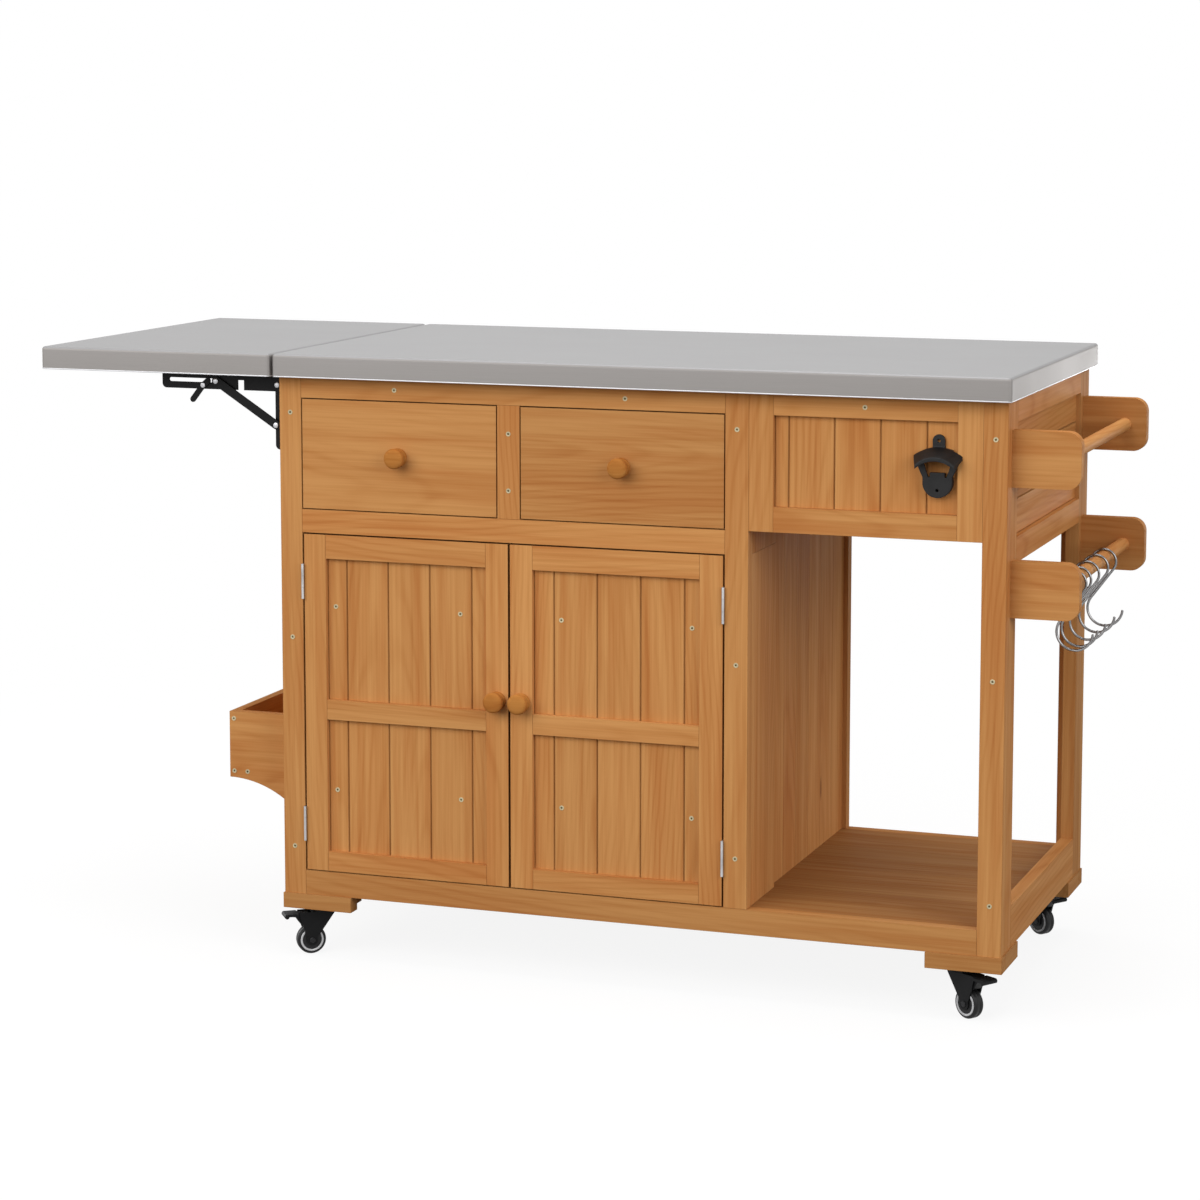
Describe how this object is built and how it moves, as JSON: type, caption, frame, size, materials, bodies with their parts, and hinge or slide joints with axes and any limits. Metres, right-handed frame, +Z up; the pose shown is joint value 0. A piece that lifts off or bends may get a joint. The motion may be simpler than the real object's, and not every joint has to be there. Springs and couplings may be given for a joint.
{
  "type": "outdoor kitchen cart",
  "caption": "Wooden outdoor kitchen cart on casters with a steel worktop, a folding side leaf, drawers, panelled doors, an open bay, spice rack, rails with hooks and a bottle opener.",
  "frame": {"origin": "middle of the overall length and depth, on the floor under the wheels", "axes": "+X along the length towards the rails, +Y to the back, +Z up"},
  "size_m": [1.582, 0.6, 0.914],
  "materials": {
    "oiled_pine": "oiled, satin",
    "brushed_steel_sheet": "brushed",
    "core_board": "raw board",
    "black_iron": "satin powder coat",
    "black_caster_steel": "semi-gloss",
    "wheel_plastic": "matte",
    "chrome_wire": "polished",
    "zinc_steel": "zinc plated"
  },
  "bodies": {
    "cart": {"worktop_core": "core_board", "worktop_skin": "brushed_steel_sheet", "stiles": "oiled_pine", "front_rails": "oiled_pine", "rear_rails": "oiled_pine", "left_side_panel": "oiled_pine", "right_side_apron": "oiled_pine", "divider_panel": "oiled_pine", "back_panel": "oiled_pine", "floor_boards": "oiled_pine", "cabinet_shelf": "oiled_pine", "drawer_runners": "oiled_pine", "bay_apron": "oiled_pine", "bottle_opener": "black_iron", "bar_brackets": "oiled_pine", "towel_bar": "oiled_pine", "hook_bar": "oiled_pine", "spice_rack": "oiled_pine", "feet": "oiled_pine", "caster_plates": "black_caster_steel", "door_fittings": "zinc_steel", "frame_screws": "zinc_steel", "wall_arms": "black_iron"},
    "leaf": {"leaf_core": "core_board", "leaf_skin": "brushed_steel_sheet", "leaf_arms": "black_iron"},
    "struts": {"leaf_struts": "black_iron"},
    "lever_front": {"release_lever_front": "black_iron"},
    "lever_rear": {"release_lever_rear": "black_iron"},
    "drawer_left": {"drawer_front_left": "oiled_pine", "drawer_box_left": "oiled_pine", "drawer_knob_left": "oiled_pine"},
    "drawer_right": {"drawer_front_right": "oiled_pine", "drawer_box_right": "oiled_pine", "drawer_knob_right": "oiled_pine"},
    "door_left": {"door_frame_left": "oiled_pine", "door_boards_left": "oiled_pine", "door_hardware_left": "zinc_steel", "door_knob_left": "oiled_pine"},
    "door_right": {"door_frame_right": "oiled_pine", "door_boards_right": "oiled_pine", "door_hardware_right": "zinc_steel", "door_knob_right": "oiled_pine"},
    "caster_fork_front_left": {"caster_fork_front_left": "black_caster_steel"},
    "caster_wheel_front_left": {"caster_wheel_front_left": "wheel_plastic"},
    "caster_pedal_front_left": {"caster_pedal_front_left": "black_caster_steel"},
    "caster_fork_front_right": {"caster_fork_front_right": "black_caster_steel"},
    "caster_wheel_front_right": {"caster_wheel_front_right": "wheel_plastic"},
    "caster_pedal_front_right": {"caster_pedal_front_right": "black_caster_steel"},
    "caster_fork_rear_right": {"caster_fork_rear_right": "black_caster_steel"},
    "caster_wheel_rear_right": {"caster_wheel_rear_right": "wheel_plastic"},
    "caster_pedal_rear_right": {"caster_pedal_rear_right": "black_caster_steel"},
    "caster_fork_rear_left": {"caster_fork_rear_left": "black_caster_steel"},
    "caster_wheel_rear_left": {"caster_wheel_rear_left": "wheel_plastic"},
    "caster_pedal_rear_left": {"caster_pedal_rear_left": "black_caster_steel"},
    "hook_1": {"steel_hook_1": "chrome_wire"},
    "hook_2": {"steel_hook_2": "chrome_wire"},
    "hook_3": {"steel_hook_3": "chrome_wire"},
    "hook_4": {"steel_hook_4": "chrome_wire"},
    "hook_5": {"steel_hook_5": "chrome_wire"}
  },
  "joints": [
    {"name": "leaf_fold", "type": "hinge", "parent": "cart", "child": "leaf", "pos_m": [-0.4215, 0, 0.863], "axis": [0, -1, 0], "range_deg": [0, 90]},
    {"name": "strut_swing", "type": "hinge", "parent": "cart", "child": "struts", "pos_m": [-0.422, 0, 0.803], "axis": [0, -1, 0], "range_deg": [0, 121.8]},
    {"name": "lever_front_press", "type": "hinge", "parent": "leaf", "child": "lever_front", "pos_m": [-0.544, -0.2513, 0.8585], "axis": [0, 1, 0], "range_deg": [0, 44.5]},
    {"name": "lever_rear_press", "type": "hinge", "parent": "leaf", "child": "lever_rear", "pos_m": [-0.544, 0.2513, 0.8585], "axis": [0, 1, 0], "range_deg": [0, 44.5]},
    {"name": "drawer_left_slide", "type": "slide", "parent": "cart", "child": "drawer_left", "axis": [0, -1, 0], "range_m": [0, 0.3]},
    {"name": "drawer_right_slide", "type": "slide", "parent": "cart", "child": "drawer_right", "axis": [0, -1, 0], "range_m": [0, 0.3]},
    {"name": "door_left_swing", "type": "hinge", "parent": "cart", "child": "door_left", "pos_m": [-0.3698, -0.279, 0.39025], "axis": [0, 0, -1], "range_deg": [0, 110]},
    {"name": "door_right_swing", "type": "hinge", "parent": "cart", "child": "door_right", "pos_m": [0.2858, -0.279, 0.39025], "axis": [0, 0, 1], "range_deg": [0, 110]},
    {"name": "caster_swivel_front_left", "type": "hinge", "parent": "cart", "child": "caster_fork_front_left", "pos_m": [-0.36, -0.24, 0.0712], "axis": [0, 0, 1], "continuous": true},
    {"name": "caster_roll_front_left", "type": "hinge", "parent": "caster_fork_front_left", "child": "caster_wheel_front_left", "pos_m": [-0.37517, -0.25143, 0.022], "axis": [0.6018, -0.7986, 0], "continuous": true},
    {"name": "caster_brake_front_left", "type": "hinge", "parent": "caster_fork_front_left", "child": "caster_pedal_front_left", "pos_m": [-0.38236, -0.25685, 0.0602], "axis": [0.6018, -0.7986, 0], "range_deg": [0, 14]},
    {"name": "caster_swivel_front_right", "type": "hinge", "parent": "cart", "child": "caster_fork_front_right", "pos_m": [0.628, -0.24, 0.0712], "axis": [0, 0, 1], "continuous": true},
    {"name": "caster_roll_front_right", "type": "hinge", "parent": "caster_fork_front_right", "child": "caster_wheel_front_right", "pos_m": [0.64394, -0.25035, 0.022], "axis": [0.5446, 0.8387, 0], "continuous": true},
    {"name": "caster_brake_front_right", "type": "hinge", "parent": "caster_fork_front_right", "child": "caster_pedal_front_right", "pos_m": [0.65148, -0.25525, 0.0602], "axis": [0.5446, 0.8387, 0], "range_deg": [0, 14]},
    {"name": "caster_swivel_rear_right", "type": "hinge", "parent": "cart", "child": "caster_fork_rear_right", "pos_m": [0.628, 0.24, 0.0712], "axis": [0, 0, 1], "continuous": true},
    {"name": "caster_roll_rear_right", "type": "hinge", "parent": "caster_fork_rear_right", "child": "caster_wheel_rear_right", "pos_m": [0.64375, 0.22937, 0.022], "axis": [0.5592, 0.829, 0], "continuous": true},
    {"name": "caster_brake_rear_right", "type": "hinge", "parent": "caster_fork_rear_right", "child": "caster_pedal_rear_right", "pos_m": [0.65121, 0.22434, 0.0602], "axis": [0.5592, 0.829, 0], "range_deg": [0, 14]},
    {"name": "caster_swivel_rear_left", "type": "hinge", "parent": "cart", "child": "caster_fork_rear_left", "pos_m": [-0.36, 0.24, 0.0712], "axis": [0, 0, 1], "continuous": true},
    {"name": "caster_roll_rear_left", "type": "hinge", "parent": "caster_fork_rear_left", "child": "caster_wheel_rear_left", "pos_m": [-0.37344, 0.25344, 0.022], "axis": [-0.7071, -0.7071, 0], "continuous": true},
    {"name": "caster_brake_rear_left", "type": "hinge", "parent": "caster_fork_rear_left", "child": "caster_pedal_rear_left", "pos_m": [-0.3798, 0.2598, 0.0602], "axis": [-0.7071, -0.7071, 0], "range_deg": [0, 14]},
    {"name": "hook_1_swing", "type": "hinge", "parent": "cart", "child": "hook_1", "pos_m": [0.758, -0.13, 0.615], "axis": [0, 1, 0], "range_deg": [-45, 45]},
    {"name": "hook_2_swing", "type": "hinge", "parent": "cart", "child": "hook_2", "pos_m": [0.758, -0.096, 0.615], "axis": [0, 1, 0], "range_deg": [-45, 45]},
    {"name": "hook_3_swing", "type": "hinge", "parent": "cart", "child": "hook_3", "pos_m": [0.758, -0.038, 0.615], "axis": [0, 1, 0], "range_deg": [-45, 45]},
    {"name": "hook_4_swing", "type": "hinge", "parent": "cart", "child": "hook_4", "pos_m": [0.758, 0.029, 0.615], "axis": [0, 1, 0], "range_deg": [-45, 45]},
    {"name": "hook_5_swing", "type": "hinge", "parent": "cart", "child": "hook_5", "pos_m": [0.758, 0.09, 0.615], "axis": [0, 1, 0], "range_deg": [-45, 45]}
  ],
  "couplings": [
    {"joint": "strut_swing", "follows": "leaf_fold", "ratio": 1.3472},
    {"joint": "lever_front_press", "follows": "leaf_fold", "ratio": 0.4889},
    {"joint": "lever_rear_press", "follows": "leaf_fold", "ratio": 0.4889}
  ]
}
